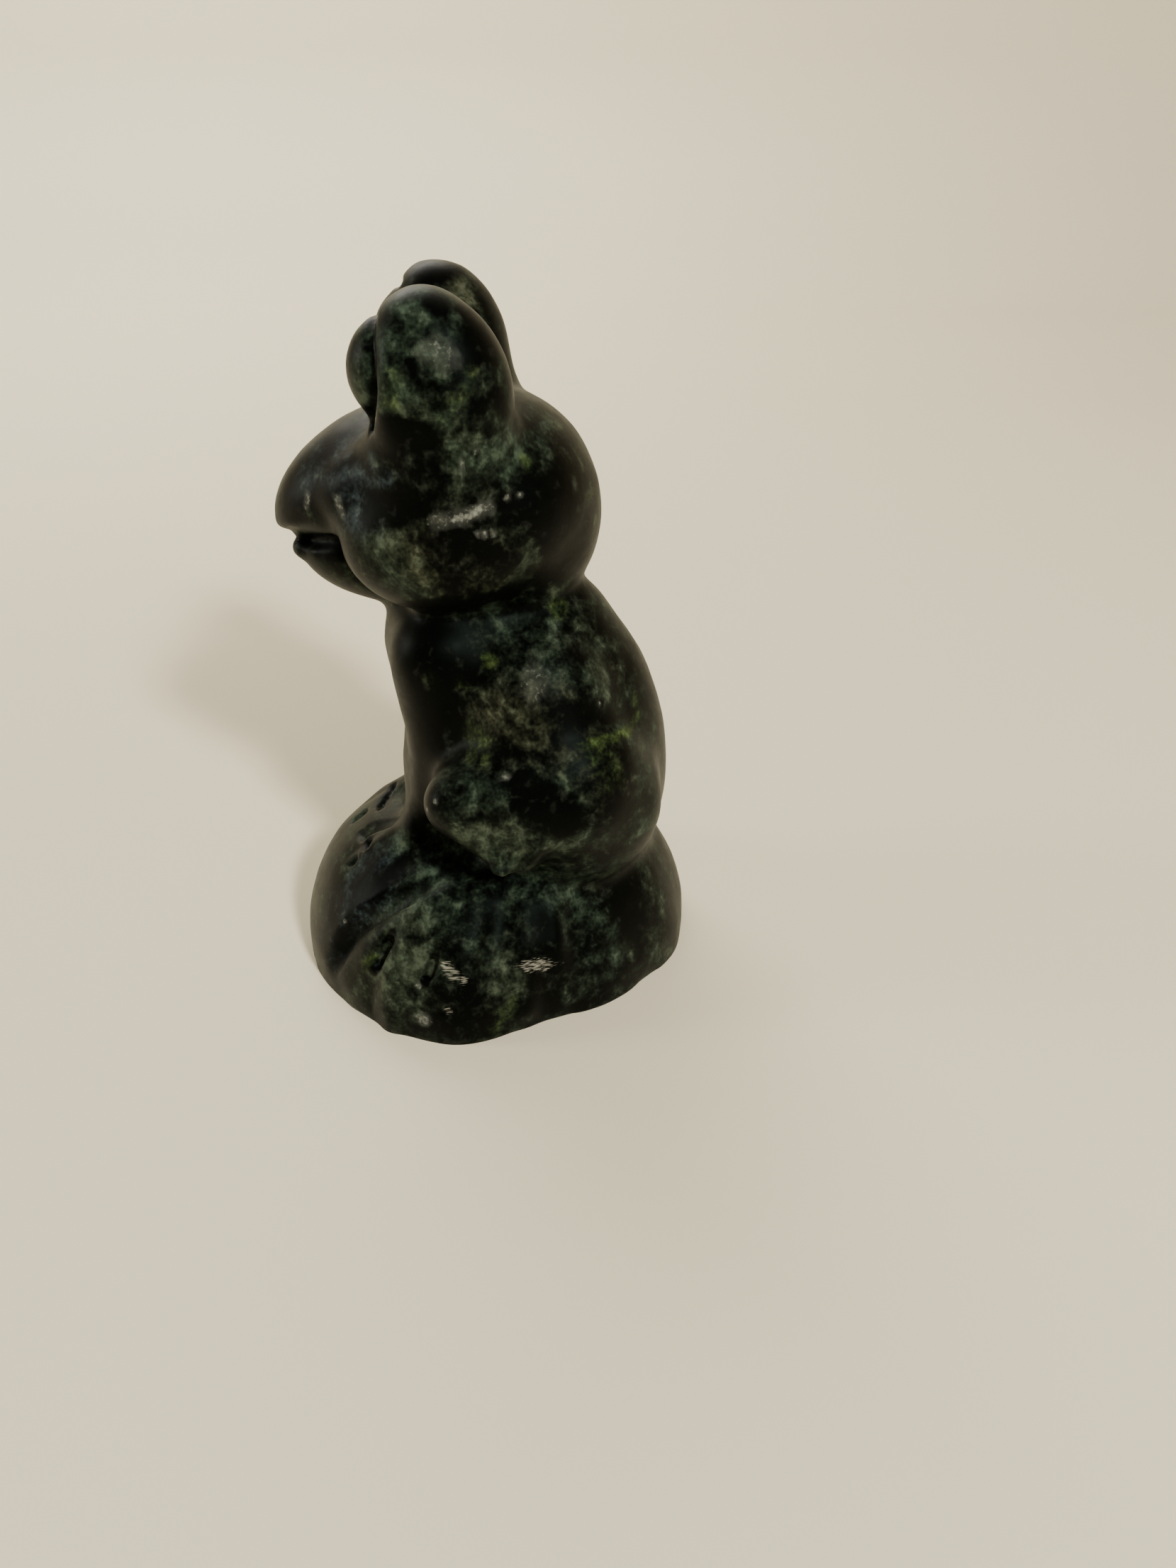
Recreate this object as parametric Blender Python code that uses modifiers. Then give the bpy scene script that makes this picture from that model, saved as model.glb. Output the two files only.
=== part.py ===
"""A seated frog on a rock, carved from one block of dark green stone.

Metres, +Z up. The frog looks along -Y, its left side is at +X, and the origin is on the ground
under the middle of the carving. The forms are roughed out as rounded masses and melted together
with a voxel remesh. Burrs cut the creases, and a saw cut leaves the underside flat.
"""

import math

import bmesh
import bpy
from mathutils import Matrix, Vector

# Driving sizes of the stone
FROG_HEIGHT = 0.0935  # from the top of the rock to the top of the eye hoods
ROCK_HEIGHT = 0.028
ROCK_LENGTH = 0.075
ROCK_WIDTH = 0.073

# How finely the forms are fused, soft ones first, and how many flat facets the solid keeps
SOFT_GRAIN = 0.0010
CRISP_GRAIN = 0.0008
LAST_GRAIN = 0.00065
FACETS = 9400

# The figure's proportions are written in steps of its height, counted up from the rock's top,
# so one step is about a millimetre on the real frog
STEP = FROG_HEIGHT / 93.5

# The rock isn't round: its reach at every 30 degrees, turning from the frog's left side to its back
ROCK_REACH = (1.005, 0.855, 0.89, 0.955, 0.99, 0.98, 0.975, 0.99, 1.0, 1.015, 1.0, 0.99)
ROCK_TURN = -12  # heading of the first reach, in degrees
# The side of the rock, as shares of its height and reach, from below the saw cut to its top
ROCK_SIDE = ((-0.3, 0.99), (0, 1.0), (0.2, 1.0), (0.45, 0.945), (0.65, 0.865), (0.8, 0.76), (0.92, 0.61), (1, 0.42),
             (1.02, 0.2))

STONE_COLOUR = (0.018, 0.028, 0.02, 1)
STONE_ROUGHNESS = 0.38


def clear_scene():
    for old in list(bpy.data.objects):
        bpy.data.objects.remove(old)


def on_frog(x, y, z):
    """A point in metres, from steps across, steps back and steps up from the rock's top."""
    return Vector((x * STEP, y * STEP, ROCK_HEIGHT + z * STEP))


def on_rock(x, y, z):
    """A point in metres, from hundredths of the rock's half width, half length and height."""
    return Vector((x * ROCK_WIDTH / 200, y * ROCK_LENGTH / 200, z * ROCK_HEIGHT / 100))


def new_object(name, clay):
    mesh = bpy.data.meshes.new(name)
    clay.to_mesh(mesh)
    clay.free()
    made = bpy.data.objects.new(name, mesh)
    bpy.context.scene.collection.objects.link(made)
    return made


def add_to(clay, piece):
    """Adds one bmesh to another. A ball is far quicker to make on its own than in a full bmesh."""
    mesh = bpy.data.meshes.new("piece")
    piece.to_mesh(mesh)
    piece.free()
    clay.from_mesh(mesh)
    bpy.data.meshes.remove(mesh)


def rounded_mass(clay, centre, radii, pitch=0.0):
    """Adds an ellipsoid with its radii in steps. Pitch tips its nose down, in degrees."""
    size = Matrix.Diagonal((*[radius * STEP for radius in radii], 1))
    turn = Matrix.Rotation(math.radians(pitch), 4, "X")
    ball = bmesh.new()
    bmesh.ops.create_uvsphere(ball, u_segments=36, v_segments=22, radius=1,
                              matrix=Matrix.Translation(centre) @ turn @ size)
    add_to(clay, ball)


def pair_of_masses(clay, centre, radii, pitch=0.0, place=on_frog):
    """The same ellipsoid on the frog's left and right."""
    x, y, z = centre
    rounded_mass(clay, place(x, y, z), radii, pitch)
    rounded_mass(clay, place(-x, y, z), radii, pitch)


def limb_pair(clay, joints, place=on_frog, flat=1.0, pieces=7):
    """A tapering limb on each side, from (x, y, z, radius) at each joint, as a row of balls."""
    for (*start, thick), (*end, thin) in zip(joints, joints[1:]):
        for i in range(pieces + 1):
            share = i / pieces
            radius = thick + (thin - thick) * share
            pair_of_masses(clay, Vector(start).lerp(Vector(end), share), (radius, radius, flat * radius), place=place)


def close_cut(skin, cut):
    """Fills the hole that a plane cut has left open."""
    rim = [edge for edge in cut["geom_cut"] if isinstance(edge, bmesh.types.BMEdge)]
    bmesh.ops.edgeloop_fill(skin, edges=rim)


def muzzle(clay, share=1.0):
    """The snout, an egg tipped nose down, with fuller flanks. Its underside is shaved off above the mouth."""
    egg = bmesh.new()
    rounded_mass(egg, on_frog(0, -12.3, 61), [share * radius for radius in (14.5, 23.4, 14)], pitch=20)
    pair_of_masses(egg, (8.5, -14.5, 64), [share * radius for radius in (8.4, 11.5, 7.5)], pitch=20)
    everything = egg.verts[:] + egg.edges[:] + egg.faces[:]
    close_cut(egg, bmesh.ops.bisect_plane(egg, geom=everything, plane_co=on_frog(0, -34, 54.4),
                                          plane_no=(0, 0.44, -1), clear_outer=True))
    add_to(clay, egg)


def settle_modifiers(made):
    """Replaces an object's mesh with what its modifiers make of it."""
    graph = bpy.context.evaluated_depsgraph_get()
    done = bpy.data.meshes.new_from_object(made.evaluated_get(graph))
    made.modifiers.clear()
    made.data = done


def melt(made, grain, passes):
    """Fuses overlapping masses into one skin and softens the seams between them."""
    fuse = made.modifiers.new("fuse", "REMESH")
    fuse.mode = "VOXEL"
    fuse.voxel_size = grain
    soften = made.modifiers.new("soften", "SMOOTH")
    soften.factor = 0.5
    soften.iterations = passes
    settle_modifiers(made)


def take_away(stone, tools):
    """Cuts the shape of the tools out of the stone."""
    bmesh.ops.recalc_face_normals(tools, faces=tools.faces[:])
    cutter = new_object("cutter", tools)
    melt(cutter, LAST_GRAIN, 0)
    cut = stone.modifiers.new("cut", "BOOLEAN")
    cut.operation = "DIFFERENCE"
    cut.solver = "EXACT"
    cut.object = cutter
    settle_modifiers(stone)
    bpy.data.objects.remove(cutter)


def rough_head():
    """Skull, muzzle, cheeks and the two hoods that stand up behind the eyes."""
    clay = bmesh.new()
    rounded_mass(clay, on_frog(0, 0.4, 57), (16.5, 19.6, 20))
    rounded_mass(clay, on_frog(0, 0, 60), (21, 19, 17))
    muzzle(clay)
    pair_of_masses(clay, (11.5, -5.5, 56.5), (11.6, 16.5, 12.4), pitch=5)
    pair_of_masses(clay, (12.5, -3.8, 68), (10, 11, 15))
    pair_of_masses(clay, (12, -4.2, 62.5), (10.7, 12.5, 12))
    pair_of_masses(clay, (12.3, -9.4, 68), (8.4, 8, 8.4))
    # the left hood is a little broader than the right one
    rounded_mass(clay, on_frog(14, -3.4, 79.2), (9.2, 10.2, 14), pitch=12)
    rounded_mass(clay, on_frog(13.6, -6, 84), (8.4, 8.6, 10.1))
    rounded_mass(clay, on_frog(14.7, -9.2, 79.6), (8.6, 6.2, 12))
    rounded_mass(clay, on_frog(-14, -4.4, 80), (9.2, 9, 14), pitch=12)
    rounded_mass(clay, on_frog(-13.6, -8.1, 84.4), (8.3, 6.7, 9.6))
    rounded_mass(clay, on_frog(-14.7, -8.6, 79.6), (8.6, 6, 12))
    head = new_object("head", clay)
    melt(head, SOFT_GRAIN, 14)
    socket = bmesh.new()
    pair_of_masses(socket, (14, -15.4, 82.2), (7.7, 7, 8.5))
    take_away(head, socket)
    return head


def rough_body():
    """Pear-shaped trunk, shoulders, front legs and the folded thighs."""
    clay = bmesh.new()
    rounded_mass(clay, on_frog(0, 7.5, 9), (21, 24.7, 36))
    rounded_mass(clay, on_frog(0, 10, 30), (15, 14, 17))
    rounded_mass(clay, on_frog(0, -1.2, 35), (16.5, 17.4, 15.5))
    pair_of_masses(clay, (12, 9, 24), (11.5, 13.5, 17))
    pair_of_masses(clay, (13, 14, 9), (12, 17, 17))
    limb_pair(clay, [(10, -7, 35, 9.5), (9.5, -8, 18, 6.2), (9.5, -8.5, 6, 5.5), (9.5, -12, -2, 6.5)])
    limb_pair(clay, [(14, 13, 14, 15), (22.8, -4, 14, 6.8)])
    body = new_object("body", clay)
    melt(body, 1.5 * SOFT_GRAIN, 16)
    return body


def rock_reach(angle):
    """How far the rock stands out at a heading, eased from one listed reach to the next."""
    sector = (math.degrees(angle) - ROCK_TURN) % 360 / 30
    here = int(sector) % 12
    ease = 0.5 - 0.5 * math.cos(math.pi * (sector - int(sector)))
    return ROCK_REACH[here] * (1 - ease) + ROCK_REACH[(here + 1) % 12] * ease


def rough_rock():
    """A low boulder with an uneven outline, rounded over at its rim."""
    clay = bmesh.new()
    headings = [2 * math.pi * i / 72 for i in range(72)]
    rings = []
    for rise, share in ROCK_SIDE:
        ring = []
        for angle in headings:
            reach = 100 * share * rock_reach(angle)
            ring.append(clay.verts.new(on_rock(reach * math.cos(angle), reach * math.sin(angle), 100 * rise)))
        rings.append(ring)
    for low, high in zip(rings, rings[1:]):
        for i in range(len(low)):
            j = (i + 1) % len(low)
            clay.faces.new((low[i], low[j], high[j], high[i]))
    clay.faces.new(rings[-1])
    clay.faces.new(reversed(rings[0]))
    rock = new_object("rock", clay)
    melt(rock, SOFT_GRAIN, 8)
    return rock


def crisp_forms():
    """Forms that keep a clear edge: eyeballs, upper lip, chin, knees, shins and heels."""
    clay = bmesh.new()
    pair_of_masses(clay, (13.1, -11.3, 82), (6.5, 6.8, 7.8))
    muzzle(clay, share=0.99)
    rounded_mass(clay, on_frog(0, -18, 58), (12, 14.5, 6))
    rounded_mass(clay, on_frog(0, -15.3, 50.7), (10, 16.3, 9.4), pitch=-6)
    limb_pair(clay, [(24, -4.8, 14.5, 5.3), (19, 5, 16, 9)])
    limb_pair(clay, [(24, -4.6, 14.3, 5.2), (25, 1.5, 8.8, 4.6), (25.5, 5.5, 5.5, 4)])
    limb_pair(clay, [(26, 6, 9.8, 2.4), (27.8, 4, 7.4, 2.2), (28.4, 2.1, 5.2, 1.6)])
    limb_pair(clay, [(26.5, 9, 8.8, 2.4), (28.4, 6.5, 5.6, 2.1), (29, 3.6, 3.4, 1.9), (28.8, 1.6, 2.4, 1.4)])
    return new_object("crisp_forms", clay)


def feet_on_rock():
    """Three fingers of each hand over the rock's front, and long toes down its sides."""
    clay = bmesh.new()
    limb_pair(clay, [(25, -40, 96, 3), (19, -55, 88, 2.5), (19, -65, 79, 2.1)], on_rock)
    limb_pair(clay, [(27, -40, 96, 3.2), (29, -59, 82, 2.7), (31, -72, 65, 2.3)], on_rock)
    limb_pair(clay, [(30, -37, 96, 3.2), (38, -52, 82, 2.7), (46, -63, 65, 2.3)], on_rock)
    limb_pair(clay, [(63, -19, 82, 2), (68, -34, 74, 2.2), (70, -45, 60, 2.4), (70, -55, 43, 2.7), (67, -64, 11, 2.9)],
              on_rock)
    limb_pair(clay, [(63, -17, 76, 3.7), (73, -35, 56, 4), (77, -44, 36, 3.9), (83, -44, 8, 3.4)], on_rock)
    limb_pair(clay, [(63, -7, 76, 3.7), (74, -14, 58, 4.2), (82, -18, 30, 4.4), (86, -18, 8, 4.2)], on_rock)
    limb_pair(clay, [(60, 15, 70, 4.5), (68, 15, 48, 5.5), (77, 12, 15, 5)], on_rock)
    limb_pair(clay, [(58, 27, 70, 4.5), (64, 28, 48, 5.5), (66, 28, 15, 5.5)], on_rock)
    return new_object("feet", clay)


def steady(track, reach=5):
    """Evens out a row of vectors, so that the burr doesn't jump where the skin is uneven."""
    rows = [track[max(0, i - reach):i + reach + 1] for i in range(len(track))]
    return [sum(row, Vector()) / len(row) for row in rows]


def grind(tools, stone, path, radius, lift, place=on_frog, both_sides=True):
    """Runs a round burr along the path on the stone's skin. Its centre rides lift above the skin, in steps."""
    for side in (1, -1) if both_sides else (1,):
        knots = [place(side * x, y, z) for x, y, z in path]
        track = [a.lerp(b, i / 8) for a, b in zip(knots, knots[1:]) for i in range(8)] + knots[-1:]
        on_skin = [stone.closest_point_on_mesh(spot) for spot in track]
        gap = steady([found[1] - spot for found, spot in zip(on_skin, track)])
        outward = steady([found[2] for found in on_skin])
        for i, spot in enumerate(track):
            run_out = 0.5 * radius * (1 - math.sin(math.pi * i / (len(track) - 1))) ** 3
            rounded_mass(tools, spot + gap[i] + outward[i].normalized() * (lift + run_out) * STEP, (radius,) * 3)


def carve(stone):
    """Cuts the creases that the masses can't show by themselves."""
    tools = bmesh.new()
    # a groove down the outer side of each eye, which ends in a pit under its corner
    limb_pair(tools, [(20.2, -14, 88, 0.7), (21, -13.6, 84.5, 0.9), (21, -13.6, 81, 1.0), (19.6, -14.4, 77.5, 1.4),
                      (16.8, -16.4, 74.2, 1.8)])
    # the mouth, a flat slot under the upper lip, right round from cheek to cheek
    limb_pair(tools, [(9.6, -21.8, 54.6, 3.2), (8.3, -25.8, 54, 3.2), (5.6, -28.8, 53.2, 3), (0, -30.6, 52, 2.4)],
              flat=0.36)
    # the fold between chin and cheek
    limb_pair(tools, [(8, -22.4, 56, 0.9), (9.5, -20.9, 52, 1.3), (9.5, -17.7, 48, 1.3), (8.2, -12.5, 44.6, 1)])
    # between the front legs, and the hollow behind each of them under the knee
    grind(tools, stone, [(0, -18, 38), (0, -16, 24), (0, -16, 12), (0, -17, 2)], 3.3, 0, both_sides=False)
    limb_pair(tools, [(17.4, -11.5, 3.4, 4.4), (18.8, -8, 2.8, 5.2), (19.8, -4, 1.8, 4.6)])
    # between the fingers
    grind(tools, stone, [(21, -51, 100), (23, -61, 89), (25, -72, 73)], 0.9, 0, on_rock)
    grind(tools, stone, [(33, -49, 96), (37, -60, 86), (41, -69, 68)], 0.9, 0, on_rock)
    # in front of the long foot
    grind(tools, stone, [(56, -19, 89), (61, -39, 81), (62, -53, 68), (61, -63, 50), (59, -72, 30), (56, -79, 12)],
          2.1, 0.7, on_rock)
    # between its toes
    grind(tools, stone, [(74, -42, 68), (77, -48, 55), (80, -54, 40)], 0.95, -0.2, on_rock)
    grind(tools, stone, [(84, -23, 58), (87, -26, 48), (90, -29, 36)], 0.95, -0.2, on_rock)
    # on both sides of the heel
    grind(tools, stone, [(66, 6, 84), (76, 4, 71), (83, 2, 58), (88, -1, 45), (92, -4, 29)], 4.5, 3.5, on_rock)
    grind(tools, stone, [(61, 32, 76), (67, 34, 64), (70, 36, 52), (73, 38, 40)], 4.5, 3.7, on_rock)
    take_away(stone, tools)


def join_meshes(name, parts):
    clay = bmesh.new()
    for part in parts:
        clay.from_mesh(part.data)
        bpy.data.objects.remove(part)
    return new_object(name, clay)


def saw_flat(stone):
    """Saws the underside flat at ground level and turns the whole skin into triangles."""
    skin = bmesh.new()
    skin.from_mesh(stone.data)
    everything = skin.verts[:] + skin.edges[:] + skin.faces[:]
    close_cut(skin, bmesh.ops.bisect_plane(skin, geom=everything, plane_co=(0, 0, 0), plane_no=(0, 0, 1),
                                           clear_inner=True))
    bmesh.ops.triangulate(skin, faces=skin.faces[:])
    bmesh.ops.recalc_face_normals(skin, faces=skin.faces[:])
    skin.to_mesh(stone.data)
    skin.free()


def centre_over_origin(stone):
    corners = [Vector(corner) for corner in stone.bound_box]
    middle = sum(corners, Vector()) / len(corners)
    stone.data.transform(Matrix.Translation((-middle.x, -middle.y, 0)))


def finish_stone(stone):
    """Puts the carving in a collection of its own, with the colour of the polished stone."""
    group = bpy.data.collections.new("jade_frog_carving")
    bpy.context.scene.collection.children.link(group)
    bpy.context.scene.collection.objects.unlink(stone)
    group.objects.link(stone)
    polished = bpy.data.materials.new("waxed_dark_green_stone")
    polished.use_nodes = True
    shader = polished.node_tree.nodes["Principled BSDF"]
    shader.inputs["Base Color"].default_value = STONE_COLOUR
    shader.inputs["Roughness"].default_value = STONE_ROUGHNESS
    shader.inputs["Metallic"].default_value = 0
    stone.data.materials.append(polished)
    stone.data.shade_smooth()
    stone.data.set_sharp_from_angle(angle=math.radians(60))


def build():
    clear_scene()
    stone = join_meshes("frog_carving", [rough_head(), rough_body(), rough_rock(), crisp_forms(), feet_on_rock()])
    melt(stone, CRISP_GRAIN, 2)
    carve(stone)
    melt(stone, LAST_GRAIN, 1)
    facet = stone.modifiers.new("facet", "DECIMATE")
    facet.ratio = FACETS / (2 * len(stone.data.polygons))
    settle_modifiers(stone)
    saw_flat(stone)
    centre_over_origin(stone)
    finish_stone(stone)


build()
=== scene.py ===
# %% [markdown]
# # A frog carved from one block of dark green stone
# The real thing is a small stone frog on a boulder, about 12 cm tall, cut from a single block that is
# sold as jade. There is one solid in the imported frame, and this script gives it its finish: the fine
# cuts of the carver's tools first, then the polished and waxed stone.

import math

import bmesh
import bpy
import numpy as np
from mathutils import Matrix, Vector, noise


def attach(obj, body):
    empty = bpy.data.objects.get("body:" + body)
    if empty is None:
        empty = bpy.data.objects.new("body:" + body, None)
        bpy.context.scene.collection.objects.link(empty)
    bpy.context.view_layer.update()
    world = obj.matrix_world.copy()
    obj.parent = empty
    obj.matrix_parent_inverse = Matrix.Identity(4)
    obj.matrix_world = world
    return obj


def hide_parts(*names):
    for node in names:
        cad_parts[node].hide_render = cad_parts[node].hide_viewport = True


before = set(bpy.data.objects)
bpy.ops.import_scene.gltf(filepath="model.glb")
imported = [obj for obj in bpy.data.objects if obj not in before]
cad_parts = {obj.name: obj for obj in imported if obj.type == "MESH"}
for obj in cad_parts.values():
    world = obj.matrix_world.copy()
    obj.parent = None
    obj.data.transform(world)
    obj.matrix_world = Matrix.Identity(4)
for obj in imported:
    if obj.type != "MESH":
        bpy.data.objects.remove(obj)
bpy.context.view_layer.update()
MM = 0.001
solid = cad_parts["frog_carving"]

# %% [markdown]
# ## The camera
# The photo was taken with a phone held close, looking down on the frog's left side. A camera this near
# makes the head large against the rock, so its distance matters as much as its angle. It looks along
# -X, tipped down by the pitch below.

# %% Put the camera where the phone was
CAMERA_PLACE = (195 * MM, 18.1 * MM, 147 * MM)
CAMERA_PITCH = 30.5   # degrees below the horizon
CAMERA_LENS = 27.667  # mm, on a sensor 36 mm along the picture's long side
NEAREST_SEEN = 10 * MM
FARTHEST_SEEN = 20    # metres

camera_data = bpy.data.cameras.new("phone_camera")
camera_data.lens = CAMERA_LENS
camera_data.clip_start = NEAREST_SEEN
camera_data.clip_end = FARTHEST_SEEN
camera = bpy.data.objects.new("phone_camera", camera_data)
camera.location = CAMERA_PLACE
camera.rotation_euler = (math.radians(90 - CAMERA_PITCH), 0, math.radians(90))
bpy.context.scene.collection.objects.link(camera)
bpy.context.scene.camera = camera
print("camera", [round(v / MM) for v in camera.location], "mm, lens", camera_data.lens)

# %% [markdown]
# ## A skin that can take fine cuts
# The solid is faceted, with faces 2 to 3 mm wide. A carver's groove is narrower than that, so the form
# needs a finer skin before any detail goes in. A subdivision would keep the uneven triangles. A voxel
# remesh gives even small squares all over, and light smoothing takes the facets out, which is what the
# stone's polishing did. The solid's own mesh is copied and never changed.

# %% Two helpers that rebuild a skin
def settle(piece):
    """Replaces the piece's mesh with what its modifiers make of it."""
    graph = bpy.context.evaluated_depsgraph_get()
    done = bpy.data.meshes.new_from_object(piece.evaluated_get(graph))
    piece.modifiers.clear()
    piece.data = done


def refine(piece, grain, passes):
    """Rebuilds the skin from squares as wide as the grain, then softens it."""
    squares = piece.modifiers.new("squares", "REMESH")
    squares.mode = "VOXEL"
    squares.voxel_size = grain
    soften = piece.modifiers.new("soften", "SMOOTH")
    soften.factor = 0.5  # each pass moves a point halfway to the middle of its neighbours
    soften.iterations = passes
    settle(piece)


# %% Copy the form and refine its skin
WELD = 0.001 * MM      # corners nearer than this are one point
UNDERSIDE = 0.01 * MM  # points lower than this lie on the saw cut
SPARE_FOOT = 4 * MM    # smoothing would round off the cut's edge, so it goes lower and is cut again later
COARSE_GRAIN = 0.7 * MM
FINE_GRAIN = 0.42 * MM

welded = bmesh.new()
welded.from_mesh(solid.data)
bmesh.ops.remove_doubles(welded, verts=welded.verts[:], dist=WELD)
for point in welded.verts:
    if point.co.z < UNDERSIDE:
        point.co.z -= SPARE_FOOT
frog_mesh = bpy.data.meshes.new("polished_frog")
welded.to_mesh(frog_mesh)
welded.free()
frog = bpy.data.objects.new("polished_frog", frog_mesh)
bpy.context.scene.collection.objects.link(frog)
rounder = frog.modifiers.new("rounder", "SUBSURF")
rounder.levels = 1
rounder.render_levels = 1
refine(frog, COARSE_GRAIN, passes=8)
refine(frog, FINE_GRAIN, passes=2)
print("skin", len(frog.data.vertices), "points")

# %% [markdown]
# ## Cutting along a line
# A carver cuts a groove by running a burr along a line. Here a line is a few points on the stone, in
# millimetres, and every point of the skin near it is pushed in along its own normal. The frog's left
# and right are nearly the same, so each skin point is mirrored to the left side before it is measured,
# and one line can cut both sides.

# %% Measure the skin against a line
def skin_arrays(piece):
    """The skin's points in mm and its unit normals."""
    count = len(piece.data.vertices)
    places = np.empty(count * 3, np.float32)
    normals = np.empty(count * 3, np.float32)
    piece.data.vertices.foreach_get("co", places)
    piece.data.vertex_normals.foreach_get("vector", normals)
    return places.reshape(-1, 3).astype(float) / MM, normals.reshape(-1, 3).astype(float)


def measure(points, normals, line):
    """How far each point is from the line, how far to its left, and how far along it from 0 to 1."""
    line = np.array(line, float)
    lengths = np.linalg.norm(np.diff(line, axis=0), axis=1)
    starts = np.concatenate([[0], np.cumsum(lengths)])
    near = np.full(len(points), np.inf)
    left = np.zeros(len(points))
    along = np.zeros(len(points))
    for i, length in enumerate(lengths):
        way = (line[i + 1] - line[i]) / length
        run = np.clip((points - line[i]) @ way, 0, length)
        off = points - line[i] - run[:, None] * way
        far = np.linalg.norm(off, axis=1)
        closer = far < near
        near[closer] = far[closer]
        sideways = np.cross(normals[closer], way)
        left[closer] = (off[closer] * sideways).sum(1)
        along[closer] = (starts[i] + run[closer]) / starts[-1]
    return near, left, along


def ease(share):
    """Goes smoothly from 0 to 1 as the share does."""
    share = np.clip(share, 0, 1)
    return share * share * (3 - 2 * share)


places, normals = skin_arrays(frog)
mirrored = np.where(places[:, :1] < 0, -1, 1) * np.array([[1, 0, 0]]) + np.array([[0, 1, 1]])
left_places = places * mirrored
left_normals = normals * mirrored
push = np.zeros(len(places))  # mm that each point moves out along its normal
print("measuring", len(places), "points")

# %% [markdown]
# ## Grooves, steps and swellings
# Three profiles are enough for this carving. A groove is deepest at its line. A step leaves the stone
# lower on one side of its line, which is how a lip or a toe stands out. A swelling is a soft round
# rise. They could be sculpted by hand as well, but from numbers they come out the same on every run.

# %% Find the skin near a line
ON_SIDE = {"both": np.full(len(places), True), "left": places[:, 0] > 0, "right": places[:, 0] < 0}
STRIDE = 1.2  # mm, short enough for a line to follow the form


def on_skin(line):
    """The line in short strides, each point moved onto the skin of the frog's left side."""
    fine = []
    for start, end in zip(line, line[1:]):
        count = math.ceil(math.dist(start, end) / STRIDE)
        fine += [Vector(start).lerp(Vector(end), i / count) for i in range(count)]
    fine.append(Vector(line[-1]))
    return np.array([frog.closest_point_on_mesh(point * MM)[1] / MM for point in fine])


def around(line, width, side):
    """Which skin points are on the side that is cut and in the box that the line can reach."""
    low = line.min(0) - width
    high = line.max(0) + width
    return ON_SIDE[side] & (left_places > low).all(1) & (left_places < high).all(1)


def faded_ends(along, fade):
    """Rises from 0 at both ends of a line to 1, each time over the given share of its length."""
    return ease(along / fade) * ease((1 - along) / fade)


print("left half", int(ON_SIDE["left"].sum()), "points, right half", int(ON_SIDE["right"].sum()))


# %% Cut a groove or a step, or raise a swelling
def groove(line, width, depth, fade, bottom, side="both"):
    """Pushes the skin in along a line. Bottom 1 leaves a V, and above 1 its edges get softer."""
    line = on_skin(line)
    hit = around(line, width, side)
    near, _, along = measure(left_places[hit], left_normals[hit], line)
    push[hit] -= depth * np.clip(1 - near / width, 0, 1) ** bottom * faded_ends(along, fade)


def step(line, width, height, crisp, fade=0.3, side="both"):
    """Lowers the skin to the right of a line and fades the drop out over its width."""
    line = on_skin(line)
    hit = around(line, width, side)
    near, left, along = measure(left_places[hit], left_normals[hit], line)
    drop = height * ease(0.5 - left / crisp)
    push[hit] -= drop * np.clip(1 - near / width, 0, 1) * faded_ends(along, fade)


def swell(centre, radius, height):
    """Raises a soft round swelling."""
    near = np.linalg.norm(left_places - centre, axis=1)
    push[:] += height * ease(1 - near / radius)


# %% [markdown]
# ## The eyes
# The eyeball stands clear of the tall hood behind it: the carver ran a burr down between the two and
# ended it in a pit at the eye's lower corner. Here the groove is cut in three passes. Each one starts
# lower down than the one before, so the groove gets wider and deeper toward the pit.

# %% Cut the lines round the eyes
EYE_GROOVE = (
    (10, -12, 118.5), (14, -12, 117.6), (16.8, -12.1, 115.6), (18.7, -12.2, 113.4), (19.2, -12.2, 111),
    (19.3, -12.2, 109), (19.2, -12.3, 107), (17.8, -12.9, 105), (15.9, -13.7, 103), (14.6, -14.5, 101.6),
)
EYE_PASSES = (  # the line's first point that is cut, width and depth in mm, fade, bottom
    (0, 1.4, 1.1, 0.08, 1.3),
    (4, 1.9, 1.0, 0.3, 1.5),
    (7, 2, 1.2, 0.2, 1.6),
)
for first, width, depth, fade, bottom in EYE_PASSES:
    groove(EYE_GROOVE[first:], width, depth, fade, bottom)
print("eyes cut to", round(float(push.min()), 2), "mm")

# %% [markdown]
# ## The edge of the chin
# Under the slot of the mouth the chin has a full front edge that stands out from the shadow. The solid
# leaves it a little short, so three low swellings fill it out.

# %% Fill out the chin
CHIN_SWELLS = (  # centre, radius and height in mm
    ((3, -31, 81), 5, 1.0),
    ((7, -28.5, 81), 4, 0.5),
    ((1.5, -29.8, 79.8), 3.6, 1.5),
)
for centre, radius, height in CHIN_SWELLS:
    swell(centre, radius, height)
print("chin filled out by", round(float(push.max()), 2), "mm")

# %% [markdown]
# ## The feet and the shins
# The long foot stands up from the rock along a clean edge, with a second toe below it. Slits part the
# toes, and the shin above folds into two nested lobes. The edges are steps, because the stone beside
# them stays low, and the slits and folds are grooves.

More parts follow.
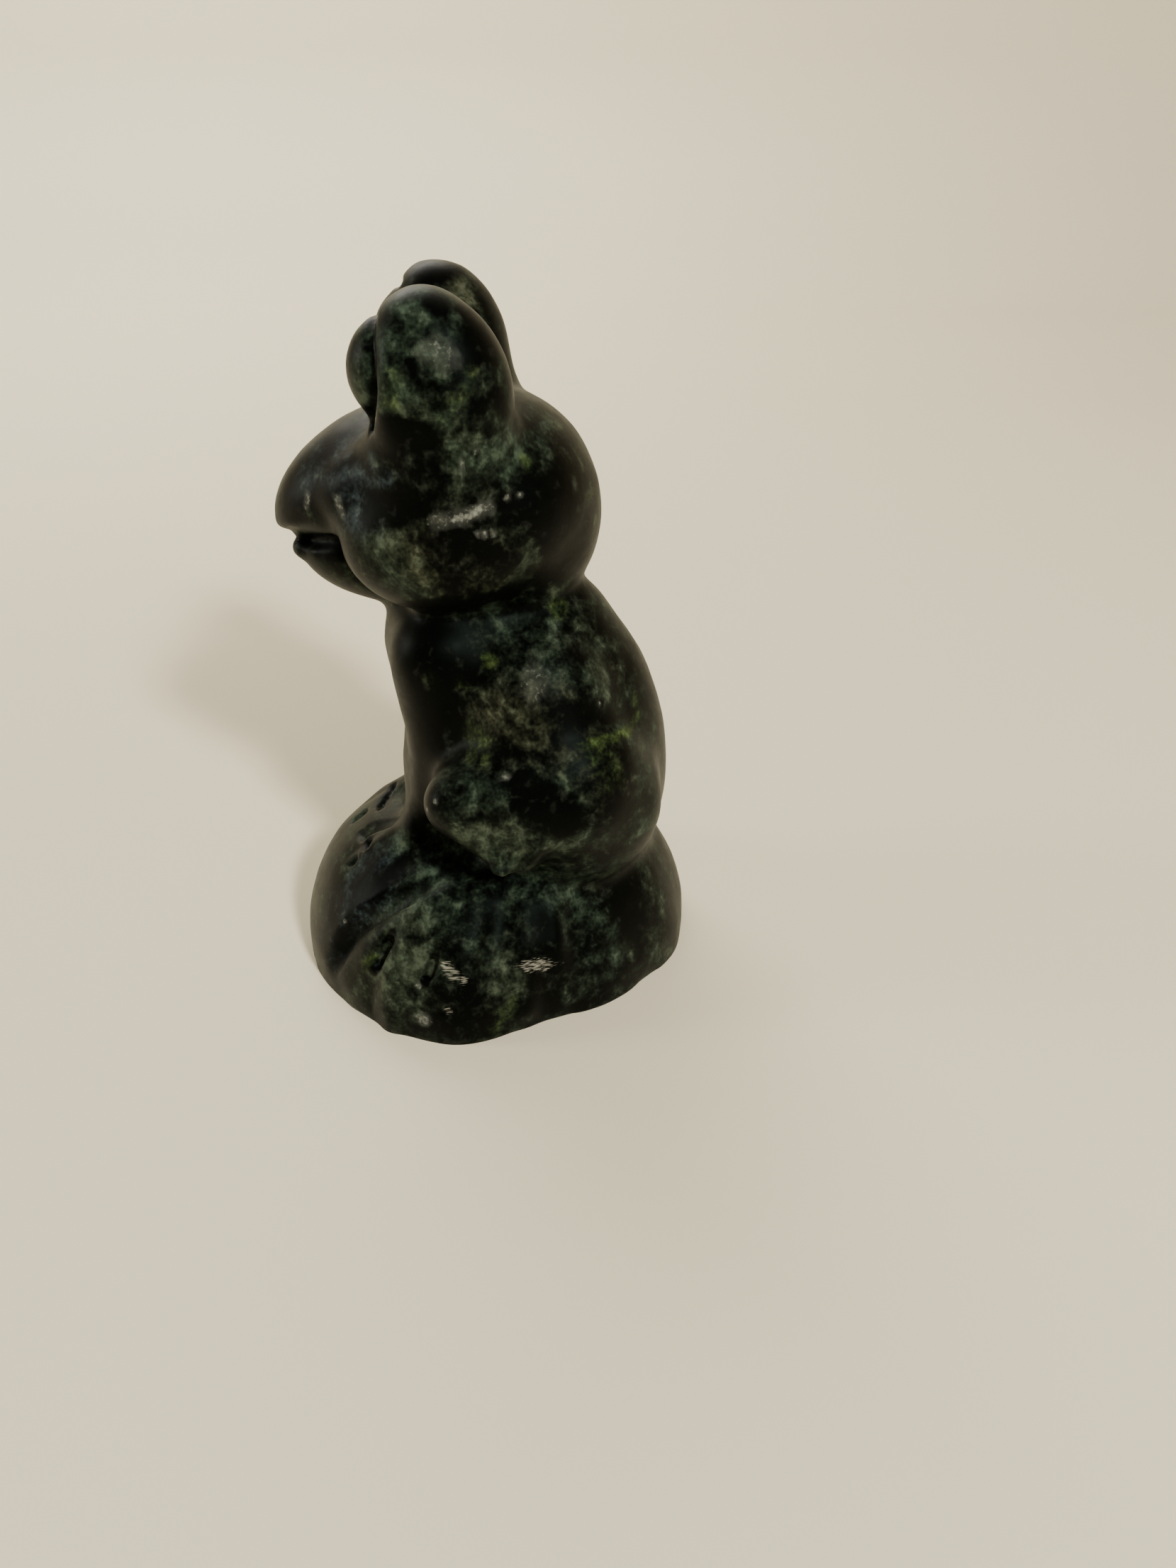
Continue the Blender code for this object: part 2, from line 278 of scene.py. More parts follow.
# %% Cut the lines of the feet and the shins
FOOT_RIDGE = (
    (22.9, -7.8, 24.5), (23.9, -10.5, 23.5), (24.5, -13.6, 22.2), (24, -16.6, 20.2), (23.9, -18.9, 18),
    (22.8, -21.6, 15), (22.4, -23.7, 12.4), (22.3, -25.4, 9.5), (22.5, -26.8, 6.7), (22.8, -28, 3.9),
)
SECOND_TOE = (
    (31, -15.9, 13.1), (31.2, -17.7, 10.6), (29.8, -19.9, 6.7), (29.8, -20.3, 3.9), (29.7, -20.3, 0.7),
)
TOE_SLITS = (
    ((27, -15.8, 17.9), (27.8, -17.8, 14.2), (28.9, -19.7, 10.6)),
    ((31.1, -8.2, 15.8), (31.7, -9.2, 13.6), (32.5, -10.1, 11.5)),
)
LOBE_FOLDS = (
    ((29.5, 2.2, 32.4), (29.8, 4, 34.4), (29.5, 4.7, 36.2), (28.8, 5.5, 37.7)),
    ((30.2, 4.2, 30.6), (30.3, 5.8, 31.5), (30, 7, 34.5), (28.8, 7.4, 37)),
)
FOLD_TOP = 40  # mm, just above the highest fold
step(FOOT_RIDGE, width=4.5, height=1.7, crisp=0.9)
step(SECOND_TOE, width=3, height=0.6, crisp=0.8)
for slit in TOE_SLITS:
    groove(slit, width=1.3, depth=2.4, fade=0.25, bottom=1.2)
for fold in LOBE_FOLDS:
    groove(fold, width=1.3, depth=1.3, fade=0.2, bottom=1.3)
print("feet and shins cut to", round(float(push[left_places[:, 2] < FOLD_TOP].min()), 2), "mm")

# %% [markdown]
# ## The hands
# The hands are only hinted at, and the two aren't alike, so each has lines of its own. The near one is a
# raised edge with two short slots beside it, and the far one has two longer slots.

# %% Cut the lines of the hands
NEAR_HAND = ((8.5, -17.5, 28.6), (7.2, -20.2, 26.8), (6.6, -22.7, 25.5), (7.5, -24.7, 23.7))
NEAR_SLOTS = (
    ((8, -22, 25.2), (9.6, -22.7, 24.9), (11.2, -23, 24.7)),
    ((11.1, -24.2, 23.5), (11.3, -25.2, 22.5), (11.6, -26.4, 21.2)),
)
FAR_SLOTS = (
    ((9.5, -19.9, 27), (6.2, -21, 26.5), (3, -22, 25.7), (0.8, -21.7, 25.9)),
    ((3.8, -24.6, 24.3), (2.6, -26.2, 23.4), (2.4, -28.1, 22.1)),
)
step(NEAR_HAND, width=4, height=1.4, crisp=0.8, fade=0.15, side="left")
for slot in NEAR_SLOTS:
    groove(slot, width=1.1, depth=1.5, fade=0.2, bottom=1.2, side="left")
for slot in FAR_SLOTS:
    groove(slot, width=1.1, depth=1.5, fade=0.15, bottom=1.2, side="right")
print("hands have", len(NEAR_SLOTS) + len(FAR_SLOTS), "slots")

# %% [markdown]
# ## Knocks and the hand of the polisher
# The stone was ground and polished by hand, so its skin rolls by a tenth of a millimetre. It was also
# knocked: there's a bruise across the cheek, and crumbled spots beside the toes where grains broke out.
# Smooth noise gives both: wide and low for the rolls, narrow and deeper for the crumbs.

# %% Roughen the knocked spots and roll the skin
KNOCKS = (  # place, radius and depth in mm
    ((32.5, -6.4, 14.8), 1.9, 0.5),
    ((33.6, -3.5, 12.7), 2.2, 0.55),
    ((35.2, -6.1, 7.2), 1.5, 0.4),
    ((32.9, -11.4, 10.8), 1.3, 0.4),
    ((21.8, 0.7, 91.1), 1.9, 0.3),
    ((22.2, -2.6, 90.2), 1.8, 0.15),
    ((20.2, 3.6, 92), 1.4, 0.2),
)
CRUMB_WIDTH = 0.9   # mm
CRUMB_DEPTH = 0.4   # the share of a knock's depth that is cut where the noise is 0
CRUMB_RELIEF = 1.6  # how much the noise adds to that share or takes from it
KNOCK_RIM = 1.3     # in radii: at its radius a knock still has a small edge
ROLL_WIDTH = 9      # mm, and the next three too
ROLL_HEIGHT = 0.12
RIPPLE_WIDTH = 3
RIPPLE_HEIGHT = 0.035


def lumps(points, grain):
    """Smooth noise from -1 to 1 at each point, with lumps about as wide as the grain, in mm."""
    return np.array([noise.noise(Vector(point)) for point in points / grain])


for centre, radius, depth in KNOCKS:
    hit = np.linalg.norm(places - centre, axis=1) < radius
    share = ease(KNOCK_RIM - np.linalg.norm(places[hit] - centre, axis=1) / radius)
    crumbs = np.clip(CRUMB_DEPTH + CRUMB_RELIEF * lumps(places[hit], CRUMB_WIDTH), 0, 1)
    push[hit] -= depth * share * crumbs
push += ROLL_HEIGHT * lumps(places, ROLL_WIDTH) + RIPPLE_HEIGHT * lumps(places, RIPPLE_WIDTH)
print(len(KNOCKS), "knocks, and the skin moves by", round(float(push.min()), 2), "to",
      round(float(push.max()), 2), "mm")

# %% [markdown]
# ## Move the skin
# All cuts are added up first and the skin is moved once. Deep cuts stretch its squares, so it is then
# rebuilt from even ones, with a single soft pass that keeps the edges.

# %% Move the skin by what was cut
LAST_GRAIN = 0.4 * MM
moved = (places + normals * push[:, None]) * MM
frog.data.vertices.foreach_set("co", moved.astype(np.float32).ravel())
frog.data.update()
refine(frog, LAST_GRAIN, passes=1)
print("rebuilt skin", len(frog.data.vertices), "points and", len(frog.data.polygons), "squares")

# %% [markdown]
# ## Keep the skin light
# The rebuilt skin comes to about 470,000 triangles, far more than the form needs. A decimation keeps
# small faces where the form turns quickly and spends few where it is flat. The spare foot is then sawn
# off at the height where the real stone was sawn, and the cut is closed with a flat face.

# %% Thin the skin out and saw it flat
MOST_TRIANGLES = 190000  # with the spare foot
thin = frog.modifiers.new("thin", "DECIMATE")
thin.ratio = min(1, MOST_TRIANGLES / (2 * len(frog.data.polygons)))
settle(frog)
skin = bmesh.new()
skin.from_mesh(frog.data)
everything = skin.verts[:] + skin.edges[:] + skin.faces[:]
cut = bmesh.ops.bisect_plane(skin, geom=everything, plane_co=(0, 0, 0), plane_no=(0, 0, 1), clear_inner=True)
bmesh.ops.edgeloop_fill(skin, edges=[e for e in cut["geom_cut"] if isinstance(e, bmesh.types.BMEdge)])
bmesh.ops.triangulate(skin, faces=skin.faces[:])
bmesh.ops.recalc_face_normals(skin, faces=skin.faces[:])
skin.to_mesh(frog.data)
skin.free()
frog.data.shade_smooth()
print("thinned to", len(frog.data.polygons), "triangles")

# %% [markdown]
# ## Where the stone's colour changes
# Each block has its own clouds. Most of them are left to noise, and the ones that show in the photo are
# listed: one row has the kind of mark, its radius and its strength, then the points that it runs through, in
# millimetres. Every kind becomes a value on the skin that the stone's colour reads.
# The values fade out softly, and the noise in the colour later frays their edges. Not every mark is the
# stone's own colour: some dark ones paint shade in the eye grooves, the mouth's slot, the crease under the
# head, beside the front leg, in the rock's valley and in the toe slits, and some pale and worn ones paint
# highlights and glints.

# %% Name the kinds of marks
GREEN, LIME, PALE, DARK, BLUE, OLIVE, WORN_AND_GLINT = "green", "lime", "pale", "dark", "blue", "olive", "worn"
KINDS = (GREEN, LIME, PALE, DARK, BLUE, OLIVE, WORN_AND_GLINT)
print(len(KINDS), "kinds of marks")

# %% [markdown]
# ## Marks on the hoods and the eyes
# The tall hoods catch the most light, so their colour shows best. The near one is green with darker patches
# and a painted highlight near its top, the groove beside the eye and the band under the hood are painted
# nearly black as shade, and the far one has a dark top above an olive flank.

# %% Mark the hoods and the eyes
HOOD_MARKS = (
    (GREEN, 2.4, 0.9, (21, -9.6, 114.5), (22.3, -9.2, 111), (22.5, -9.8, 107.5)),
    (LIME, 1.6, 0.25, (22.3, -9.2, 111), (22.5, -9.8, 107.5)),
    (GREEN, 3, 0.7, (17.5, -15, 111), (17, -15.5, 107)),
    # Painted shade: the groove beside the eye is darkened as if it lay in shadow.
    (DARK, 1.2, 1.0, (19.2, -12.2, 109), *EYE_GROOVE[6:]),
    (GREEN, 4.5, 0.5, (21.4, -5.5, 114), (22, -4, 108)),
    # Painted highlight: the pale patch near the hood's top and its bright core stand for the lamp's glint.
    (PALE, 2.2, 0.5, (21.6, -3.4, 114.2), (21.8, -1.8, 113.4)),
    (PALE, 0.6, 1.0, (21.3, -2.8, 115)),
    (GREEN, 3.6, 0.6, (19.2, -9.3, 117.5), (21.3, -7.3, 114.9)),
    (GREEN, 2.8, 0.5, (16.3, -14.2, 115.1), (18.6, -13.9, 110.6)),
    (GREEN, 3, 0.7, (21.7, -4.2, 113.9), (21.4, -1.1, 114)),
    (LIME, 1.1, 0.5, (21.1, 2, 111.5)),
    (LIME, 1.6, 0.25, (22.9, -3, 106), (22.3, 0.6, 108)),
    (GREEN, 1.6, 0.7, (22.6, -10, 107.3)),
    (DARK, 2.3, 0.9, (16.2, 2.1, 117.7), (18.6, 3.3, 114.4), (21, 1.1, 113)),
    (DARK, 1.4, 0.9, (18.2, -3, 119.5)),
    (DARK, 1.5, 0.8, (22.3, -7, 111.8), (22.7, -4.4, 109.6), (22.9, -2.9, 108.1)),
    # Painted shade: the band under the hood is darkened as if it lay in shadow.
    (DARK, 2.1, 1.0, (18.2, -13.2, 101.9), (22.2, -8.5, 102.9), (22.2, -4.9, 102.5)),
    (DARK, 2, 0.9, (-8.5, -6.4, 119.9), (-8.6, -4.3, 119.1)),
    (OLIVE, 3, 0.9, (-8.5, -2.9, 118.2), (-8.1, -1.4, 116.8)),
    (GREEN, 2.4, 1.3, (-8.5, -2.9, 118.2), (-8.1, -1.4, 116.8)),
)
print(len(HOOD_MARKS), "marks on the hoods and the eyes")

# %% [markdown]
# ## Marks on the face
# The cool colour over the muzzle is a painted reflection of the window's light, and the jaw under it is
# green. The mouth's slot is painted black as shade. The knock on the cheek left a row of pale powdered spots,
# with olive stone below them, and the same pale streak also paints the highlight on the cheek. The back of
# the head is nearly black at its side and olive toward the nape.

# %% Mark the muzzle, the cheek and the back of the head
FACE_MARKS = (
    # Painted reflection: the cool colour over the muzzle stands for the window's light on it.
    (BLUE, 6, 0.9, (7.2, -23.7, 96), (14.1, -17.7, 96.2), (16.1, -17.3, 92.5)),
    (BLUE, 1.6, 1.0, (19.7, -11.6, 95.7)),
    (PALE, 0.7, 0.8, (10.1, -25.6, 90.5), (10.4, -26, 88.8)),
    (PALE, 0.8, 0.8, (15, -20.2, 91.3), (15.5, -19.3, 89.1)),
    (DARK, 2.6, 0.6, (8.3, -29.1, 87.4)),
    # Painted shade: the mouth's slot is darkened to black as if in shadow.
    (DARK, 2.2, 1.0, (3, -27, 80.5), (8, -22.5, 81.2)),
    (GREEN, 3.8, 0.8, (18.6, -17.1, 85.5), (21.5, -12, 85.6), (22, -8.9, 81.4)),
    (GREEN, 3.2, 0.6, (19.7, -12.5, 78.3), (22.6, -7, 83.8)),
    (GREEN, 3, 0.7, (21.6, 0.5, 99.9), (18.8, 5.1, 97.9), (17.8, 6.6, 96)),
    (GREEN, 2.3, 0.6, (22, -0.6, 94.7), (20.8, 2.6, 94.8)),
    (LIME, 1.5, 0.4, (15.1, 9, 96.9), (16.3, 9.4, 94.7)),
    # Partly the knock's pale powder and partly a painted highlight where the light falls on the cheek.
    (PALE, 1.3, 0.6, (22.4, -4.5, 90.1), (22.1, -0.8, 90.6), (20.6, 3.3, 91.8)),
    (PALE, 0.55, 1.2, (22.2, -1.6, 90.4), (21.7, 0.8, 90.8), (21.3, 2.2, 92)),
    (PALE, 0.3, 1.25, (21.6, 1.8, 88), (20.7, 4.2, 87.6)),
    (PALE, 0.7, 1.2, (21.4, 1.5, 91.2)),
    (PALE, 0.5, 1.0, (19, 6.1, 92.8)),
    (PALE, 0.5, 1.0, (18.2, 7.8, 92.9)),
    (PALE, 0.5, 0.9, (21.1, 1.9, 100.1)),
    (PALE, 0.5, 0.9, (21.7, -0.2, 98.8)),
    (DARK, 2.4, 0.9, (19, -13.6, 90.8), (21.6, -8.2, 91.7)),
    (DARK, 4.6, 0.9, (18, 10.6, 91.5), (15.4, 14.5, 87.7), (12, 15.7, 80.6)),
    (OLIVE, 6, 0.9, (22.8, -4.4, 84.8), (21.4, 2.1, 82.1)),
    (DARK, 4, 0.35, (22.6, -4, 87), (22.2, 1, 86)),
    (OLIVE, 5, 0.8, (6.3, 16.1, 96.2), (9.8, 16.9, 90.6), (10.3, 16.5, 84)),
)
print(len(FACE_MARKS), "marks on the face")

# %% [markdown]
# ## Marks on the trunk
# A yellow-green vein runs across the back, with olive clouds beside it. The crease under the head and the
# front leg beside the chest are painted darker as shade, a few pale flecks lie on the flank, and the pale
# patch on the flank's bulge is a painted highlight.

# %% Mark the trunk
TRUNK_MARKS = (
    (LIME, 1.8, 0.7, (8.8, 13.2, 71)),
    (LIME, 0.8, 1.0, (23.2, 16.8, 53.2), (21, 21, 52.8), (15.7, 24.8, 51.6), (10.6, 26.6, 52.2), (9, 26, 55)),
    (LIME, 2.8, 0.5, (23.3, 19.6, 51.6), (24.4, 22.3, 47.5)),
    (LIME, 2.6, 0.5, (19, -1.3, 52.9), (22.2, 0.7, 51.5)),
    (OLIVE, 7, 1.0, (22.1, 5, 56.1), (22.7, 11.9, 56.4)),
    (OLIVE, 5, 0.8, (23.3, 19.6, 51.6), (24.4, 22.3, 46)),
    # Painted shade: the front leg beside the chest is darkened as if in shadow.
    (DARK, 6, 1.0, (18, -7, 66), (17, -10, 56), (15, -12, 46), (14, -12, 38)),
    # Painted shade: the crease under the head is darkened as if in shadow.
    (DARK, 2.5, 1.0, (14, -13, 73), (19, -5, 75), (17, 5, 76)),
    (DARK, 3.4, 1.0, (27.3, 9, 46), (27.8, 14, 42)),
    (DARK, 2, 0.8, (20, 15, 56.5), (17, 20, 56)),
    (GREEN, 3.5, 0.4, (16, 8, 65), (20, 4, 60)),
    (GREEN, 3.6, 0.8, (20.6, 9.6, 64), (22.9, 9, 55.5)),
    # Painted highlight: the pale patch on the flank's bulge and its core stand for the lamp's glint.
    (PALE, 2.6, 0.5, (20.4, 9.6, 65.2), (21.1, 9.4, 62.5)),
    (PALE, 0.6, 0.9, (20.4, 9.6, 65.2)),
    (PALE, 0.5, 1.0, (17.7, 19.9, 58.1)),
    (PALE, 0.35, 0.9, (16.7, 19.5, 60.5)),
    (LIME, 1.5, 2.2, (18.6, -7.6, 62.5)),
    (LIME, 1.3, 1.4, (16.9, 2.1, 65.2)),
    (LIME, 1.5, 0.7, (18.5, -2.5, 62)),
)
print(len(TRUNK_MARKS), "marks on the trunk")

# %% [markdown]
# ## Marks on the folded leg
# The knee stands out to the side and is the greenest part of the leg, with three pale flecks near it.
# Green lines follow the folds of the shin.

# %% Mark the knee and the thigh
LEG_MARKS = (
    (GREEN, 5, 1.0, (28.5, 1, 43), (28.5, 6, 39)),
    (GREEN, 2.4, 1.0, (28.8, 0.9, 43.7), (28.3, 3.7, 45.5)),
    (GREEN, 1.9, 0.7, (28.6, -1.8, 44.6)),
    (PALE, 0.5, 1.2, (26.4, -8.5, 42.7)),
    (PALE, 0.6, 0.8, (27.4, -6.9, 45)),
    (PALE, 0.6, 1.0, (26.4, 4.8, 48.9)),
    (GREEN, 2, 0.8, (27.8, 12.2, 37.1), (27.6, 15.9, 37.5)),
    (GREEN, 1.4, 0.7, (27.9, 17.1, 44.3), (28.1, 16.4, 40.1)),
    (GREEN, 1.5, 0.6, (29.4, 2.4, 34.8), (29.6, 3.9, 36)),
    (GREEN, 1.3, 0.8, (30.5, 4.2, 31.6), (30.1, 6.1, 34.1), (29.2, 7.1, 36.3)),
)
print(len(LEG_MARKS), "marks on the folded leg")

# %% [markdown]
# ## Marks on the foot and the rock
# The foot is green. The valley beside the foot's edge on the rock's front is painted darker and cooler as
# shade, and the slits between the toes are painted nearly black as shade. Where the rock was knocked the
# stone is worn pale, and the same pale marks also paint the glints of light on the worn spots.

# %% Mark the foot and the rock
ROCK_MARKS = (
    (GREEN, 5, 1.3, (27, -12, 20), (30.5, -11, 14), (30.5, -16, 11)),
    # Painted shade: the toe slits are darkened to nearly black as if in shadow.
    (DARK, 0.7, 2.0, *TOE_SLITS[0]),
    (DARK, 0.7, 2.0, *TOE_SLITS[1]),
    (GREEN, 1.9, 1.0, (27.9, -12.9, 19.7), (27.1, -10.4, 21.3)),
    (GREEN, 2.4, 1.0, (30.6, -12.8, 15.7), (30.9, -10.3, 16)),
    (GREEN, 2.2, 0.2, (31.7, -3, 16.6), (30.3, -2, 18.6)),
    (GREEN, 0.9, 0.8, (19.8, -13.5, 24.4), (19.1, -9.1, 25.7)),
    (GREEN, 0.9, 0.7, (22.3, -8.8, 24), (22, -7.3, 24.8)),
    (LIME, 1.1, 0.6, (27.6, -21.5, 10.9), (28, -19.8, 12.7)),
    (GREEN, 1.5, 0.5, (28, -22.5, 5.4), (32.7, -15.2, 6.8)),
    (GREEN, 3, 0.35, (20.6, 16.7, 20.4), (21.3, 19.7, 17.2)),
    (GREEN, 1.1, 0.4, (24.7, 16.7, 13.6)),
    (GREEN, 2.1, 0.3, (26.8, 6, 20.1), (28.6, 9.9, 15.4)),
    (LIME, 1.8, 0.4, (34.3, 1.4, 2.4), (32.6, 4.9, 6.1)),
    (GREEN, 1.9, 0.5, (9.7, -20.8, 26.4), (12.2, -16.2, 28.6)),
    (PALE, 1.4, 1.0, (34.7, -10.7, 4.8)),
    (PALE, 0.7, 1.0, (32.9, -11.4, 10.8)),
    (PALE, 0.5, 1.0, (20.1, -25.9, 15.1)),
    # Painted shade: the valley beside the foot's edge is made darker and cooler as if in shadow.
    (BLUE, 5, 0.7, (17.3, -20, 23), (18.6, -25.3, 17.7), (19.9, -29, 9.2)),
    (DARK, 4, 0.35, (17.3, -20, 23), (18.6, -25.3, 17.7), (19.9, -29, 9.2)),
    (DARK, 5, 0.25, (26, 4, 22), (27, 11, 19), (24, 17, 16)),
    (DARK, 3, 0.8, (14.7, 25.4, 18.6), (18, 26.4, 12.2)),
    # Worn pale stone, whose pale colour also paints the glint of light on its scratches.
    (WORN_AND_GLINT, 1.5, 1.2, (30.2, 7.5, 13.2), (29.2, 11, 12.4)),
    (WORN_AND_GLINT, 0.7, 0.8, (30.9, 5, 13.2), (28.3, 13.6, 12.2)),
    (WORN_AND_GLINT, 1.4, 1.15, (32.5, -6.4, 14.8), (33, -5, 13.4)),
    (WORN_AND_GLINT, 1.1, 1.15, (33.9, -3.2, 12.9)),
    (WORN_AND_GLINT, 1.0, 1.1, (35.2, -6.1, 7.2)),
)
print(len(ROCK_MARKS), "marks on the foot and the rock")

# %% [markdown]
# ## Write the marks onto the skin
# Where two marks of a kind meet, the stronger one counts, so they never add up to more than either.
# Each kind becomes an attribute with one value at every point of the skin.

# %% Mark the skin
MARK_END = 1.6   # in radii: beyond this a mark doesn't show
SOFT_EDGE = 1.2  # in radii: how wide its edge is
SHOWS = 0.3      # the strength from which a mark is plain to see


def mark_strength(points, line, radius, strength):
    """How strongly a mark shows at each point: full near its line, half at its radius, then nothing."""
    line = np.array(line, float)
    near = np.full(len(points), np.inf)
    for start, end in zip(line, line[1:] if len(line) > 1 else line):
        way = end - start
        run = np.clip((points - start) @ way / max(way @ way, 0.01), 0, 1)  # a single point has no way
        near = np.minimum(near, np.linalg.norm(points - start - run[:, None] * way, axis=1))
    return strength * ease((MARK_END * radius - near) / (SOFT_EDGE * radius))


places, _ = skin_arrays(frog)
for kind in KINDS:
    values = np.zeros(len(places))
    for mark, radius, strength, *line in HOOD_MARKS + FACE_MARKS + TRUNK_MARKS + LEG_MARKS + ROCK_MARKS:
        if mark == kind:
            values = np.maximum(values, mark_strength(places, line, radius, strength))
    frog.data.attributes.new(kind, "FLOAT", "POINT").data.foreach_set("value", values.astype(np.float32))
    print(kind, "covers", round(100 * float((values > SHOWS).mean()), 1), "percent")

# %% [markdown]
# ## The stone
# Carvings like this are cut from serpentine or nephrite, and both are sold as jade. The colour comes
# from grains of green minerals in a nearly black ground. It is polished with fine grit and waxed, so it
# has a satin gloss, and its green shows only where light falls straight on it.

# %% A colour helper and a node helper
def stone_colour(code):
    """Turns an sRGB hex colour into the linear values that Blender shades with."""
    parts = [int(code[i:i + 2], 16) / 255 for i in (1, 3, 5)]
    return tuple(p / 12.92 if p <= 0.04045 else ((p + 0.055) / 1.055) ** 2.4 for p in parts) + (1.0,)


def add_node(tree, kind, settings=None, values=None, links=None):
    """Adds a node with its settings, its socket values and its incoming links."""
    node = tree.nodes.new(kind)
    for name, value in (settings or {}).items():
        setattr(node, name, value)
    for name, value in (values or {}).items():
        node.inputs[name].default_value = value
    for name, source in (links or {}).items():
        tree.links.new(source, node.inputs[name])
    return node


print("middle grey is", round(stone_colour("#808080")[0], 3), "in linear light")

# %% [markdown]
# ## Clouds in the stone
# The clouds are about 6 mm wide with frayed edges, and finer mottling of about 2 mm runs through them.
# The grains themselves are under 0.3 mm, too fine to draw at this size, so the specks are drawn 0.6 mm wide.
# One value, the tone, adds all of them to the listed marks, and a ramp turns it into colour.

# %% Start the stone and its two helpers
stone = bpy.data.materials.new("waxed_serpentine")
stone.use_nodes = True
tree = stone.node_tree
shader = tree.nodes["Principled BSDF"]
where = add_node(tree, "ShaderNodeTexCoord").outputs["Object"]
marks = {kind: add_node(tree, "ShaderNodeAttribute", {"attribute_name": kind}).outputs["Fac"]
         for kind in KINDS}


def cloud(width, detail, roughness, distortion=0.0):
    """Noise with clouds about as wide as given, in mm."""
    values = {"Scale": 1 / (width * MM), "Detail": detail, "Roughness": roughness, "Distortion": distortion}
    return add_node(tree, "ShaderNodeTexNoise", None, values, {"Vector": where}).outputs["Fac"]


def weighed_sum(start, *terms):
    """Adds each source times its weight to a start value."""
    total = start
    for source, weight in terms:
        node = add_node(tree, "ShaderNodeMath", {"operation": "MULTIPLY_ADD"}, {1: weight}, {0: source})
        if isinstance(total, float):
            node.inputs[2].default_value = total
        else:
            tree.links.new(total, node.inputs[2])
        total = node.outputs[0]
    return total


print("the stone reads", len(marks), "kinds of marks")

# %% Add up the stone's tone
CLOUD_WIDTH = 6.5   # mm
MOTTLE_WIDTH = 2.2  # mm
SPECK_WIDTH = 0.6   # mm
TONE_START = -0.55  # how dark the stone is as a whole

clouds = cloud(CLOUD_WIDTH, detail=4.0, roughness=0.52, distortion=0.4)
mottle = cloud(MOTTLE_WIDTH, detail=2.0, roughness=0.5, distortion=0.3)
specks = cloud(SPECK_WIDTH, detail=2.0, roughness=0.5)
# The dark marks take tone away, which darkens dark stone and also paints shade in grooves, slits and creases.
tone = weighed_sum(TONE_START, (clouds, 0.95), (mottle, 0.7), (specks, 0.4),
                   (marks[GREEN], 0.19), (marks[LIME], 0.15), (marks[DARK], -0.32))
print("tone is mixed from", len(tree.nodes), "nodes")

# %% [markdown]
# ## Colours of the stone
# The same tone is read through four rows of colours: the plain ground, a warmer one, a cooler one and a
# yellow-green one. Wide noise and the marks say which row shows where. The edge of each mark is broken
# up by finer noise, as the grains of a real stone do it, because a smooth edge would look painted on.

# %% Three helpers that colour the stone
TONE_STOPS = (0.36, 0.47, 0.57, 0.68, 0.85)


def ramp(source, tones):
    """Turns a value into colour, with one of the tones at each stop."""
    node = add_node(tree, "ShaderNodeValToRGB", None, None, {"Fac": source})
    for i, (place, code) in enumerate(zip(TONE_STOPS, tones)):
        stop = node.color_ramp.elements[i] if i < 2 else node.color_ramp.elements.new(place)
        stop.position = place
        stop.color = stone_colour(code)
    return node.outputs["Color"]


def blend(share, under, over):
    """Lays a hex colour or a ramp's colour over another."""
    node = add_node(tree, "ShaderNodeMixRGB", None, None, {"Fac": share, "Color1": under})
    if isinstance(over, str):
        node.inputs["Color2"].default_value = stone_colour(over)
    else:
        tree.links.new(over, node.inputs["Color2"])
    return node.outputs["Color"]


def frayed(mark, low, high, grain=mottle, raggedness=1.0):
    """A mark that starts to show at low and is full at high, its edge broken up by the grain."""
    source = weighed_sum(-0.5 * raggedness, (mark, 1.0), (grain, raggedness))
    limits = {"From Min": low, "From Max": high}
    return add_node(tree, "ShaderNodeMapRange", None, limits, {"Value": source}).outputs[0]


print("each ramp has", len(TONE_STOPS), "stops")

# %% Colour the ground, the clouds and the marks
PLAIN_TONES = ("#020302", "#090d09", "#141b14", "#222b22", "#394438")
WARM_TONES = ("#030302", "#0c0d09", "#191b13", "#292b20", "#424537")
COOL_TONES = ("#020303", "#090c0d", "#161c1d", "#252c2e", "#3f484a")
LIME_TONES = ("#030402", "#0b1007", "#192110", "#29331a", "#46532f")
PALE_HALO = "#6c6e66"
PALE_CORE = "#75776e"
ZONE_WIDTH = 16  # mm, the block's warmer parts
ZONE_EDGES = {"From Min": 0.42, "From Max": 0.6}  # the noise from which they begin and are full
WARM_SHARE = 0.45  # how much warmer they are

zones = add_node(tree, "ShaderNodeMapRange", None, ZONE_EDGES,
                 {"Value": cloud(ZONE_WIDTH, detail=3.0, roughness=0.5)}).outputs[0]
colour = ramp(tone, PLAIN_TONES)
warm = ramp(tone, WARM_TONES)
cool = ramp(tone, COOL_TONES)
lime = ramp(tone, LIME_TONES)
colour = blend(weighed_sum(0.0, (zones, WARM_SHARE)), colour, warm)
colour = blend(frayed(marks[OLIVE], low=0.1, high=0.9), colour, warm)
# The cooler row also paints the window's reflection on the muzzle and cooler shade in the rock's valley.
colour = blend(frayed(marks[BLUE], low=0.1, high=0.7), colour, cool)
colour = blend(frayed(marks[LIME], low=0.1, high=0.6), colour, lime)
# Pale flecks of the stone, and painted highlights on the hood, the flank's bulge and the cheek.
colour = blend(frayed(marks[PALE], low=0.1, high=3.4), colour, PALE_HALO)
colour = blend(frayed(marks[PALE], low=0.65, high=1.6, grain=specks, raggedness=2.0), colour, PALE_CORE)
print("colour is mixed from", len(tree.nodes), "nodes")

